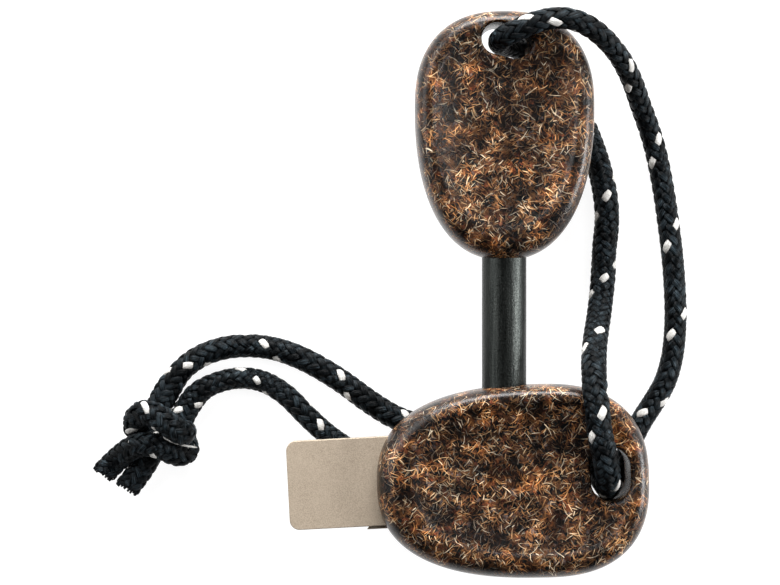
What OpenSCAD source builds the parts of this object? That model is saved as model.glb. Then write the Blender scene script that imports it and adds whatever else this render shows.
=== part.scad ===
// Ferro rod fire starter: two pebble handles moulded in wood-fibre composite,
// one holding a ferrocerium rod, the other a steel striker plate. The rod
// parks in a blind socket of the striker handle, and a knotted lanyard
// runs through a hole in each handle.
// X runs to the lanyard side, Y along the rod towards the rod handle,
// Z up out of the front face. The origin is the middle of the hard parts.

/* [Handles] */
// Thickness of both handles over the crests of their rims
handle_t = 14; // [13:0.5:17]
// Depth of the shallow thumb dish in each face
dish_d = 1.4; // [0.6:0.1:1.8]
// Where the crease of the dish lies, as a share of the way out to the edge
crease = 0.81; // [0.74:0.01:0.86]

/* [Rod handle] */
// Half of the rod handle's width
rod_half = 16.1; // [14:0.1:18]
// Length of its broad end, from the widest place to the tip
rod_head = 17; // [15:0.1:20]
// Length of its narrow end, from the widest place to the rod's mouth
rod_tail = 27.6; // [25:0.1:28]

/* [Striker handle] */
// Half of the striker handle's width across the rod
str_half = 17.3; // [16:0.1:20]
// Length of its broad end, which carries the lanyard hole
str_head = 19.0; // [17:0.1:22]
// Length of its narrow end, which carries the plate
str_tail = 29.8; // [27:0.1:32]

/* [Ferro rod] */
// Diameter of the rod
rod_d = 8; // [6:0.5:8.5]
// Length of the rod
rod_len = 65; // [60:1:68]
// Length of the rod that parks in the socket
parked = 26.4; // [22:0.1:27]
// Radial clearance of the rod in its socket
rod_play = 0.05; // [0.02:0.01:0.1]
// Thickness of the glue film around the rod
glue_t = 0.1; // [0.05:0.05:0.2]

/* [Striker plate] */
// Width of the plate
plate_w = 16; // [12:0.1:17]
// Thickness of the plate
plate_t = 1.8; // [1.2:0.1:2.4]
// Length of the full-width part of the plate
plate_len = 21; // [19:0.5:24]
// Length of the narrower tang behind it
tang_len = 9.5; // [6:0.5:10]
// Width of the tang
tang_w = 11; // [9:0.5:12]
// Radius of the plate's two free corners
plate_r = 1.8; // [0.8:0.1:3]
// Diameter of the tang holes that the handle is moulded through
tang_hole_d = 3.2; // [2:0.1:4]

/* [Lanyard] */
// Diameter of the braided cord
cord_d = 4; // [3:0.1:4]
// Width of the lanyard hole in the rod handle, along its long way
hole_a_len = 9; // [8.6:0.1:10]
// Width of that hole, across
hole_a_w = 5.6; // [5.4:0.1:7]
// Width of the lanyard hole in the striker handle, along its long way
hole_b_len = 9.6; // [8:0.1:10]
// Width of that hole, across
hole_b_w = 7; // [6.8:0.1:7.2]

/* [Hidden] */
eps = 0.01;

half_t = handle_t / 2;
rod_r = rod_d / 2;
bore_r = rod_r + glue_t;
socket_r = rod_r + rod_play;
cord_r = cord_d / 2;

// centres of the two pebbles and the line of the rod
rod_c = [6.5, 33.62];
str_c = [13.4, -33.6];
str_turn = 1.3;
rod_x = 6.5;
rod_low = str_c[1] + str_half - parked - 0.1;
rod_high = rod_low + rod_len;

// lanyard holes: middle, and the turn of the long way from X
hole_a = [6.7, 45];
hole_a_turn = -14;
hole_b = [25.2, -32.2];
hole_b_turn = 92;

// the plate's own frame: its free end is at x = 0, the tang points to +x
plate_at = [-32.4, -34.6];
plate_turn = 3;

// colours
composite = [0.24, 0.14, 0.08];
steel = [0.66, 0.62, 0.56];
ferro = [0.16, 0.16, 0.17];
resin = [0.75, 0.68, 0.45];
black = [0.05, 0.05, 0.06];

// ---- pebble surface ------------------------------------------------------
// Outline: a superellipse whose two ends have their own lengths.
function egg(th, half, head, tail, nh, nt) =
    let (u = cos(th), v = sin(th),
         a = u > 0 ? head : tail, n = u > 0 ? nh : nt)
    pow(pow(abs(u) / a, n) + pow(abs(v) / half, n), -1 / n);

SEG = 56;
// Levels from the middle of the front dish out to the edge: [share, height].
dish_levels = [for (k = [0.3, 0.6, 0.85, 0.96])
    [k * crease, half_t - dish_d * (1 - k * k * k)]];
rim_levels = [for (f = [90, 72, 54, 36, 18, 0])
    [crease + (1 - crease) * pow(cos(f), 0.66), half_t * pow(sin(f), 0.66)]];
half_levels = concat(dish_levels, rim_levels);
levels = concat(half_levels,
    [for (k = [len(half_levels) - 2:-1:0]) [half_levels[k][0], -half_levels[k][1]]]);

// Closed pebble; shift moves the dish off the middle of the outline.
module pebble(half, head, tail, nh, nt, shift) {
    n = len(levels);
    pts = concat(
        [[shift[0], shift[1], half_t - dish_d]],
        [for (lv = levels) let (s = lv[0] > crease ? (1 - lv[0]) / (1 - crease) : 1)
            for (i = [0:SEG - 1]) let (th = 360 * i / SEG,
                                       r = lv[0] * egg(th, half, head, tail, nh, nt))
                [r * cos(th) + s * shift[0], r * sin(th) + s * shift[1], lv[1]]],
        [[shift[0], shift[1], -(half_t - dish_d)]]);
    last = 1 + n * SEG;
    top = [for (i = [0:SEG - 1]) [0, 1 + (i + 1) % SEG, 1 + i]];
    side = [for (k = [0:n - 2], i = [0:SEG - 1])
        let (a = 1 + k * SEG + i, b = 1 + k * SEG + (i + 1) % SEG, c = a + SEG, d = b + SEG)
        each [[a, b, c], [b, d, c]]];
    bottom = [for (i = [0:SEG - 1])
        [last, 1 + (n - 1) * SEG + i, 1 + (n - 1) * SEG + (i + 1) % SEG]];
    polyhedron(pts, concat(top, side, bottom), convexity = 6);
}

// Straight-through hole with two round ends, along Z.
module obround(length, width, high) {
    run = (length - width) / 2;
    for (s = [-1, 1]) translate([s * run, 0, -high / 2])
        cylinder(h = high, d = width, $fn = 48);
    cube([2 * run, width, high], center = true);
}

// ---- cord ---------------------------------------------------------------
function unit(v) = v / norm(v);
function headings(p, first, last) = let (n = len(p))
    [for (i = [0:n - 1]) i == 0 ? unit(first) : i == n - 1 ? unit(last)
        : unit(p[i + 1] - p[i - 1])];
// Side vector carried along the line without twisting.
function carried(t, i) = i == 0 ? unit(cross([0.01, 0.02, 1], t[0]))
    : let (v = carried(t, i - 1)) unit(v - (v * t[i]) * t[i]);

// A ring at each point of the route.
module cord(p, first, last, r = cord_r, sides = 8) {
    t = headings(p, first, last);
    n = len(p);
    rings = [for (i = [0:n - 1]) let (v = carried(t, i), w = cross(t[i], v))
        for (k = [0:sides - 1]) let (a = 360 * (k + 0.5) / sides)
            p[i] + r * (cos(a) * v + sin(a) * w)];
    pts = concat(rings, [p[0], p[n - 1]]);
    side = [for (i = [0:n - 2], k = [0:sides - 1])
        let (a = i * sides + k, b = i * sides + (k + 1) % sides)
        each [[a, a + sides, b], [b, a + sides, b + sides]]];
    ends = [for (k = [0:sides - 1])
        each [[n * sides, k, (k + 1) % sides],
              [n * sides + 1, (n - 1) * sides + (k + 1) % sides, (n - 1) * sides + k]]];
    polyhedron(pts, concat(side, ends), convexity = 10);
}

low = -9.2;   // the cord's middle where it lies flat
over = 9.2;   // and where it crosses the front of a handle
split_y = 8;  // both strands lie along Y here, and are divided

// From the knot, under the striker handle, up through its hole, over its
// rim and down to the split.
feed = [[-57, -21, low], [-55.5, -18, low], [-52.5, -14.3, low], [-49, -11.6, low],
        [-44.5, -10, low], [-39.5, -9.6, low], [-34.6, -10.3, low], [-29.2, -12.4, low],
        [-23.1, -16, low], [-17.6, -20, low], [-12.5, -23, low], [-6.5, -24.6, low],
        [1, -24.4, low], [8.5, -24, low], [14.5, -25.2, low], [19.7, -28.4, low],
        [22.4, -31.4, -8.1], [24.3, -33.7, -5.4], [25, -34.7, -1.6], [25, -34.8, 1.6],
        [24.9, -34.1, 4.8], [24.5, -31.8, 7.6], [23.9, -28.6, 8.9], [22.9, -24.4, over],
        [22.5, -20, 9.3], [22.2, -17, 8.3], [22.2, -14.1, 5.8], [22.5, -11.2, 2.2],
        [23.1, -8.2, -1.8], [23.9, -5, -5.5], [24.6, -1.2, -8.3], [25.1, 3, low],
        [25.3, split_y, low]];
// From the split, under the rod handle, up through its hole, over its rim
// and down the lanyard's outer side to the split again.
loop = [[25.3, split_y, low], [25.8, 13, low], [25.5, 18, low], [24, 24.5, low],
        [21.6, 31, low], [18.4, 37.6, low], [15.2, 42.2, low], [12, 44.3, low],
        [9, 45.1, -8.4], [6.8, 45.2, -6.1], [5.8, 45.3, -2.8], [5.6, 45.3, 0.8],
        [5.7, 45.3, 4.5], [6.3, 45.6, 7.1], [7.9, 46.3, 8.8], [10.4, 47.4, 9.4],
        [13.3, 48.3, 9.5], [17, 48.6, 9.1], [20.8, 47.5, 7.7], [24.3, 45.2, 5.2],
        [27.3, 42.2, 1.8], [29.8, 38.4, -2.2], [31.6, 34.5, -5.8], [33.4, 30.4, -8.3],
        [34.8, 26, low], [36.2, 19, low], [37.2, 12, low], [37.7, split_y, low]];
// From the split, under the striker handle past its hole, under the plate
// and round to the knot.
back = [[37.7, split_y, low], [38.2, 2, low], [38.4, -4.5, low], [37.9, -11, low],
        [36.5, -16.2, low], [34.4, -19.9, low], [31.8, -24, low], [29.8, -28.5, low],
        [28.9, -33.4, low], [27.9, -37.6, low], [25.8, -41, low], [21.5, -43.3, low],
        [16, -44, low], [9, -43.5, low], [2, -41.7, low], [-5, -38.6, low],
        [-12, -34.6, low], [-18.9, -30.3, low], [-25.4, -26, low], [-29.5, -22.3, low],
        [-33.2, -18.6, low], [-37.2, -16.2, low], [-41, -15.5, low], [-45, -16.1, low],
        [-49, -18, low], [-51.4, -21.2, low], [-52.5, -23.5, low]];

// The knot: lobes that the two strands wrap into.
knot_lobes = [[-59.3, -22.6, -7.8, 3.4], [-58.6, -22.8, -5.4, 3.3], [-54.4, -23.6, -3.6, 3],
              [-51.9, -25, -4, 2.8], [-52.2, -26.8, -7.9, 3.3], [-52.6, -28, -6.6, 3],
              [-58.6, -27.4, -7.8, 3.2]];
// Free ends: where each leaves the knot, and where it is cut.
end_a = [[-61, -27.7, low], [-66.5, -33.3, low]];
end_b = [[-57.2, -29.9, low], [-62.4, -35.7, low]];

// ---- pieces --------------------------------------------------------------
module along(p, q) {
    d = q - p;
    translate(p) rotate([0, acos(d[2] / norm(d)), atan2(d[1], d[0])]) children();
}

// Rod handle: pebble, broad end up, bored for the glued rod.
module rod_handle() {
    color(composite) difference() {
        translate([rod_c[0], rod_c[1], 0]) rotate([0, 0, 90])
            pebble(rod_half, rod_head, rod_tail, 2.4, 2.3, [-0.3, 0]);
        translate([rod_x, 0, 0]) rotate([-90, 0, 0])
            cylinder(h = rod_high + 0.3, r = bore_r, $fn = 64);
        translate([hole_a[0], hole_a[1], 0]) rotate([0, 0, hole_a_turn])
            obround(hole_a_len, hole_a_w, 2 * handle_t);
    }
}

// Ferrocerium rod with a small chamfer at each end.
module ferro_rod() {
    c = 0.6;
    color(ferro) translate([rod_x, rod_low, 0]) rotate([-90, 0, 0])
        rotate_extrude($fn = 96) polygon([[0, 0], [rod_r - c, 0], [rod_r, c],
            [rod_r, rod_len - c], [rod_r - c, rod_len], [0, rod_len]]);
}

// Glue that fills the gap round the rod and behind it.
module rod_adhesive() {
    start = rod_c[1] - rod_tail + 1.3;
    color(resin) translate([rod_x, start, 0]) rotate([-90, 0, 0]) {
        top = rod_high - start;
        c = 0.6;
        rotate_extrude($fn = 96) polygon([[rod_r, 0], [bore_r, 0], [bore_r, top + 0.3],
            [0, top + 0.3], [0, top], [rod_r - c, top], [rod_r, top - c]]);
    }
}

// Striker handle: pebble on its side, with the blind socket and the plate
// moulded in; the composite fills the tang's holes.
module striker_handle() {
    color(composite) difference() {
        translate([str_c[0], str_c[1], 0]) rotate([0, 0, str_turn])
            pebble(str_half, str_head, str_tail, 2.5, 2.5, [0.5, 0.7]);
        translate([rod_x, rod_low - 0.2, 0]) rotate([-90, 0, 0])
            cylinder(h = parked + 10, r = socket_r, $fn = 64);
        translate([hole_b[0], hole_b[1], 0]) rotate([0, 0, hole_b_turn])
            obround(hole_b_len, hole_b_w, 2 * handle_t);
        plate_solid();
    }
}

// Plate outline: two round corners, square shoulders, a tang with two holes.
module plate_outline() {
    difference() {
        union() {
            translate([plate_r, -plate_w / 2]) square([plate_len - plate_r, plate_w]);
            translate([0, -plate_w / 2 + plate_r]) square([plate_r + eps, plate_w - 2 * plate_r]);
            for (s = [-1, 1]) translate([plate_r, s * (plate_w / 2 - plate_r)])
                circle(r = plate_r, $fn = 48);
            translate([plate_len - eps, -tang_w / 2]) square([tang_len + eps, tang_w]);
        }
        for (s = [-1, 1]) translate([plate_len + tang_len / 2, s * tang_w / 4])
            circle(d = tang_hole_d, $fn = 32);
    }
}

module plate_solid() {
    translate([plate_at[0], plate_at[1], 0]) rotate([0, 0, plate_turn]) {
        translate([0, 0, -plate_t / 2]) linear_extrude(plate_t) plate_outline();
        // thin lug beside the handle, on the back half of the lower edge
        translate([0, -plate_w / 2, -plate_t / 2]) linear_extrude(plate_t / 2)
            polygon([[14.4, 0.1], [13.8, -0.7], [plate_len - 1, -0.7], [plate_len - 1, 0.1]]);
    }
}

module striker_plate() { color(steel) plate_solid(); }

module lanyard_feed() { color(black) cord(feed, [0.4, 1, 0], [0, 1, 0]); }
module lanyard_loop() { color(black) cord(loop, [0, 1, 0], [0, -1, 0]); }
module lanyard_return() { color(black) cord(back, [0, -1, 0], [-0.6, -0.8, 0]); }

module lanyard_knot() {
    color(black) hull() for (k = knot_lobes)
        translate([k[0], k[1], k[2]]) sphere(r = k[3], $fn = 24);
}

// Cut end of the braided sheath, open round the core.
module sheath_end(e) {
    color(black) along(e[0], e[1]) difference() {
        cylinder(h = norm(e[1] - e[0]), r = cord_r, $fn = 32);
        cylinder(h = 2 * norm(e[1] - e[0]), r = cord_r * 0.6, center = true, $fn = 32);
    }
}
// Core yarns inside it, cut level with it.
module core_end(e) {
    color(black) along(e[0], e[1]) cylinder(h = norm(e[1] - e[0]), r = cord_r * 0.6, $fn = 32);
}
module lanyard_end_a() { sheath_end(end_a); }
module lanyard_end_b() { sheath_end(end_b); }
module lanyard_core_a() { core_end(end_a); }
module lanyard_core_b() { core_end(end_b); }

rod_handle();
ferro_rod();
rod_adhesive();
striker_handle();
striker_plate();
lanyard_feed();
lanyard_return();
lanyard_loop();
lanyard_knot();
lanyard_end_a();
lanyard_end_b();
lanyard_core_a();
lanyard_core_b();
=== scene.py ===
"""Ferro rod fire starter: the visible model, built in the frame of its CAD model.

All lengths in the tables below are millimetres; meshes are written in metres."""
import math
import bpy
import bmesh
import numpy as np
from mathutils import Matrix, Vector


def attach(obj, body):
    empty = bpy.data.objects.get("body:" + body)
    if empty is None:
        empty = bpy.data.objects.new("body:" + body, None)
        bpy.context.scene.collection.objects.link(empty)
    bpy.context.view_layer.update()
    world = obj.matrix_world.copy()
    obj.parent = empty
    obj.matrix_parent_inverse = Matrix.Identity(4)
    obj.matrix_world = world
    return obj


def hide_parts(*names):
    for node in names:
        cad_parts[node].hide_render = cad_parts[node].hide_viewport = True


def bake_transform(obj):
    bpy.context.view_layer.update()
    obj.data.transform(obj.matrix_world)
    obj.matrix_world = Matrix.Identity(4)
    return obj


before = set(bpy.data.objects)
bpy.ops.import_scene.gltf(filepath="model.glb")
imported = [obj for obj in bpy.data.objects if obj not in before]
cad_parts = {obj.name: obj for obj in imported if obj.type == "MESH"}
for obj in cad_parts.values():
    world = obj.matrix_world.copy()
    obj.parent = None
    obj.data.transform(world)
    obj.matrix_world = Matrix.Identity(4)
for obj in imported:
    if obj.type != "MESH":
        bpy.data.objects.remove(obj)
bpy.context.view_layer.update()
MM = 0.001
RNG = np.random.default_rng(20)


# ---- camera ---------------------------------------------------------------
cam_data = bpy.data.cameras.new("camera")
cam_data.sensor_fit = "HORIZONTAL"
cam_data.sensor_width = 36
cam_data.lens = 115.385
cam_data.clip_start = 0.01
camera = bpy.data.objects.new("camera", cam_data)
camera.location = (-0.01404, 0.00018, 0.450)
bpy.context.scene.collection.objects.link(camera)
bpy.context.scene.camera = camera


def photo_xy(px, py, z):
    """The point at height z (mm) that the camera sees at a pixel."""
    k = 0.18 * (450 - z) / 450
    return np.array([-14.04 + (px - 390) * k, 0.18 + (292 - py) * k])


# ---- mesh helpers ---------------------------------------------------------
def link(name, mesh):
    obj = bpy.data.objects.new(name, mesh)
    bpy.context.scene.collection.objects.link(obj)
    return obj


def mesh_from(name, verts, faces, smooth=True):
    """Mesh from points in mm."""
    mesh = bpy.data.meshes.new(name)
    mesh.from_pydata((np.asarray(verts) * MM).tolist(), [], faces)
    mesh.validate()
    if smooth:
        mesh.shade_smooth()
    return mesh


def unit(v):
    return v / np.maximum(np.linalg.norm(v, axis=-1, keepdims=True), 1e-12)


# ---- cord routes ----------------------------------------------------------
LOW = -9.2
OVER = 9.2
FEED = [[-57, -21, LOW], [-55.5, -18, LOW], [-52.5, -14.3, LOW], [-49, -11.6, LOW],
        [-44.5, -10, LOW], [-39.5, -9.6, LOW], [-34.6, -10.3, LOW], [-29.2, -12.4, LOW],
        [-23.1, -16, LOW], [-17.6, -20, LOW], [-12.5, -23, LOW], [-6.5, -24.6, LOW],
        [1, -24.4, LOW], [8.5, -24, LOW], [14.5, -25.2, LOW], [19.7, -28.4, LOW],
        [22.4, -31.4, -8.1], [24.3, -33.7, -5.4], [25, -34.7, -1.6], [25, -34.8, 1.6],
        [24.9, -34.1, 4.8], [24.5, -31.8, 7.6], [23.9, -28.6, 8.9], [22.9, -24.4, OVER],
        [22.5, -20, 9.3], [22.2, -17, 8.3], [22.2, -14.1, 5.8], [22.5, -11.2, 2.2],
        [23.1, -8.2, -1.8], [23.9, -5, -5.5], [24.6, -1.2, -8.3], [25.1, 3, LOW],
        [25.3, 8, LOW]]
LOOP = [[25.3, 8, LOW], [25.8, 13, LOW], [25.5, 18, LOW], [24, 24.5, LOW],
        [21.6, 31, LOW], [18.4, 37.6, LOW], [15.2, 42.2, LOW], [12, 44.3, -9.2],
        [9, 45.1, -8.4], [6.8, 45.2, -6.1], [5.8, 45.3, -2.8], [5.6, 45.3, 0.8],
        [5.7, 45.3, 4.5], [6.3, 45.6, 7.1], [7.9, 46.3, 8.8], [10.4, 47.4, 9.4],
        [13.3, 48.3, 9.5], [17, 48.6, 9.1], [20.8, 47.5, 7.7],
        [24.3, 45.2, 5.2], [27.3, 42.2, 1.8], [29.8, 38.4, -2.2], [31.6, 34.5, -5.8],
        [33.4, 30.4, -8.3], [34.8, 26, LOW], [36.2, 19, LOW], [37.2, 12, LOW],
        [37.7, 8, LOW]]
BACK = [[37.7, 8, LOW], [38.2, 2, LOW], [38.4, -4.5, LOW], [37.9, -11, LOW],
        [36.5, -16.2, LOW], [34.4, -19.9, LOW], [31.8, -24, LOW], [29.8, -28.5, LOW],
        [28.9, -33.4, LOW], [27.9, -37.6, LOW], [25.8, -41, LOW], [21.5, -43.3, LOW],
        [16, -44, LOW], [9, -43.5, LOW], [2, -41.7, LOW], [-5, -38.6, LOW],
        [-12, -34.6, LOW], [-18.9, -30.3, LOW], [-25.4, -26, LOW], [-29.5, -22.3, LOW],
        [-33.2, -18.6, LOW], [-37.2, -16.2, LOW], [-41, -15.5, LOW], [-45, -16.1, LOW],
        [-49, -18, LOW], [-51.4, -21.2, LOW], [-52.5, -23.5, LOW]]
# The knot: a doubled overhand, pulled tight. The first strand goes under, folds over the left
# edge, crosses on top, folds down at the right and leaves underneath; the second goes under,
# rises at the lower right and crosses below the first.
KNOT_A = [[-56.3, -20.3, -9.3], [-57.6, -23.7, -9.5], [-59, -25.5, -9], [-60.4, -24.9, -7.3],
          [-60.3, -22.9, -5.2], [-58.9, -21.6, -3.5], [-56.7, -21.9, -2.5], [-54.4, -23.4, -2],
          [-52.2, -24.9, -2.2], [-50.7, -25.9, -3.7], [-51.5, -25.4, -5.5], [-53.7, -25, -6.6],
          [-56, -26.4, -7.2], [-57.8, -29.2, -7.5], [-59.6, -32.1, -8.8], [-62.7, -36.2, LOW]]
KNOT_B = [[-52.4, -25.4, -9.6], [-51.7, -27.2, -9.5], [-51.1, -28.4, -8.4], [-51.6, -29.3, -6.9],
          [-53.2, -29.2, -5.4], [-55.4, -28, -4.4], [-57.8, -27.3, -3.9], [-60.2, -27.7, -4.8],
          [-62.8, -29.4, -7.2], [-64.9, -31.2, -9], [-67.1, -33.5, LOW]]
KNOT_AT = [-56, -26, -5]


def even(p, step):
    s = np.concatenate([[0], np.cumsum(np.linalg.norm(np.diff(p, axis=0), axis=1))])
    n = max(2, int(round(s[-1] / step)) + 1)
    at = np.linspace(0, s[-1], n)
    return np.stack([np.interp(at, s, p[:, k]) for k in range(3)], 1)


def smooth_route(points, step, sigma=1.1):
    """Smooth evenly spaced curve (mm) close to the points; its ends stay where they are."""
    p = np.array(points, float)
    seg = np.linalg.norm(np.diff(p, axis=0), axis=1)
    t = np.concatenate([[0], np.cumsum(np.maximum(seg, 1e-6) ** 0.5)])
    m = np.zeros_like(p)
    m[1:-1] = ((p[1:-1] - p[:-2]) / (t[1:-1] - t[:-2])[:, None]
               - (p[2:] - p[:-2]) / (t[2:] - t[:-2])[:, None]
               + (p[2:] - p[1:-1]) / (t[2:] - t[1:-1])[:, None])
    m[0] = (p[1] - p[0]) / (t[1] - t[0])
    m[-1] = (p[-1] - p[-2]) / (t[-1] - t[-2])
    out = []
    for i in range(len(p) - 1):
        h = t[i + 1] - t[i]
        u = np.linspace(0, 1, 24, endpoint=False)[:, None]
        out.append((2 * u ** 3 - 3 * u ** 2 + 1) * p[i] + (u ** 3 - 2 * u ** 2 + u) * h * m[i]
                   + (-2 * u ** 3 + 3 * u ** 2) * p[i + 1] + (u ** 3 - u ** 2) * h * m[i + 1])
    q = even(np.concatenate(out + [p[-1:]]), 0.1)
    k = int(4 * sigma / 0.1)
    w = np.exp(-0.5 * (np.arange(-k, k + 1) * 0.1 / sigma) ** 2)
    w /= w.sum()
    pad = np.concatenate([2 * q[0] - q[k:0:-1], q, 2 * q[-1] - q[-2:-k - 2:-1]])
    q = np.stack([np.convolve(pad[:, a], w, "valid") for a in range(3)], 1)
    return even(q, step)


def carried_frames(c):
    """Tangents and two side vectors that turn as little as they can along the curve."""
    t = unit(np.gradient(c, axis=0))
    n = np.zeros_like(c)
    first = np.cross([0.01, 0.02, 1.0], t[0])
    n[0] = unit(first)
    for i in range(len(c) - 1):
        v1 = c[i + 1] - c[i]
        k1 = v1 @ v1
        rl = n[i] - (2 / k1) * (v1 @ n[i]) * v1
        tl = t[i] - (2 / k1) * (v1 @ t[i]) * v1
        v2 = t[i + 1] - tl
        k2 = v2 @ v2
        r = rl if k2 < 1e-18 else rl - (2 / k2) * (v2 @ rl) * v2
        n[i + 1] = unit(r - (r @ t[i + 1]) * t[i + 1])
    return t, n, np.cross(t, n)


# ---- braid ----------------------------------------------------------------
def pins_of(c, n, b, flecks, pitch):
    """Where along the curve each fleck of the tracer yarn lies, the index of its float, and
    its angle round the cord. Floats follow each other a quarter turn apart."""
    t = unit(np.gradient(c, axis=0))
    ds = np.linalg.norm(np.diff(c, axis=0), axis=1).mean()
    k = 0.18 * (450 - c[:, 2]) / 450
    px = 390 + (c[:, 0] + 14.04) / k
    py = 292 - (c[:, 1] - 0.18) / k
    found = []
    for x, y in flecks:
        i = int(np.hypot(px - x, py - y).argmin())
        side = unit(np.cross(t[i], [0, 0, 1.0]))
        off = ((x - px[i]) * side[0] - (y - py[i]) * side[1]) / 11.2
        off = float(np.clip(off, -0.95, 0.95))
        up = unit(np.array([0, 0, 1.0]) - t[i][2] * t[i])
        u = math.sqrt(1 - off * off) * up + off * side
        found.append([i, math.atan2(b[i] @ u, n[i] @ u)])
    found.sort()
    out = []
    for i, th in found:
        if not out:
            out.append((i, 0, th))
            continue
        i0, m0, th0 = out[-1]
        quarter = np.interp(0.5 * (i + i0) / len(c), [q[0] for q in pitch], [q[1] for q in pitch]) / 4
        best = None
        for dm in range(1, 400):
            far = (i - i0) * ds / quarter - dm
            if far < -3:
                break
            turn = (th - th0 - dm * math.pi / 2 + math.pi) % (2 * math.pi) - math.pi
            cost = (far / max(1.0, 0.15 * dm)) ** 2 + (turn / (math.pi / 2)) ** 2
            if best is None or cost < best[0]:
                best = (cost, dm)
        out.append((i, m0 + best[1], th))
    return out


def braid_phase(c, n, b, flecks, pitch):
    """Advance of the right-handed yarns and slow twist of the whole braid, per point.
    pitch: [(share of the length, mm)]"""
    ds = np.linalg.norm(np.diff(c, axis=0), axis=1).mean()
    s = np.arange(len(c)) * ds
    base = np.interp(s / s[-1], [p[0] for p in pitch], [p[1] for p in pitch])
    psi = np.concatenate([[0], np.cumsum(2 * math.pi / base[:-1] * ds)])
    tau = np.zeros(len(c))
    pins = pins_of(c, n, b, flecks, pitch)
    if pins:
        at = [p[0] for p in pins]
        want = np.array([math.pi / 16 + p[1] * math.pi / 2 for p in pins])
        err = want - psi[at]
        psi = psi + np.interp(np.arange(len(c)), at, err)
        k = int(4 / ds)
        w = np.hanning(2 * k + 1)
        w /= w.sum()
        pad = np.concatenate([2 * psi[0] - psi[k:0:-1], psi, 2 * psi[-1] - psi[-2:-k - 2:-1]])
        psi = np.convolve(pad, w, "valid")
        turn = []
        for (i, m, th) in pins:
            v = th - math.pi / 16 - m * math.pi / 2
            ref = turn[-1] if turn else 0.0
            v = ref + (v - ref + math.pi) % (2 * math.pi) - math.pi
            turn.append(v)
        tau = np.interp(np.arange(len(c)), at, turn)
        k = int(5 / ds)
        w = np.hanning(2 * k + 1)
        w /= w.sum()
        pad = np.concatenate([np.full(k, tau[0]), tau, np.full(k, tau[-1])])
        tau = np.convolve(pad, w, "valid")
    return psi, tau


def yarn_mesh(centre, radial, half_w, half_t, sides):
    """Flattened tube along a yarn; returns points, faces and the place across."""
    t = unit(np.gradient(centre, axis=0))
    e_r = unit(radial - (radial * t).sum(1)[:, None] * t)
    e_w = np.cross(t, e_r)
    phi = 2 * math.pi * (np.arange(sides) + 0.5) / sides
    cw, sw = np.cos(phi), np.sin(phi)
    cw = np.sign(cw) * np.abs(cw) ** 0.9
    pts = (centre[:, None, :] + (half_w[:, None] * cw)[:, :, None] * e_w[:, None, :]
           + (half_t[:, None] * sw)[:, :, None] * e_r[:, None, :])
    n = len(centre)
    a = np.arange(n - 1)[:, None] * sides + np.arange(sides)[None, :]
    b = np.arange(n - 1)[:, None] * sides + (np.arange(sides)[None, :] + 1) % sides
    quads = np.stack([a, b, b + sides, a + sides], 2).reshape(-1, 4)
    across = np.tile(cw, n)
    return pts.reshape(-1, 3), quads, across


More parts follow.
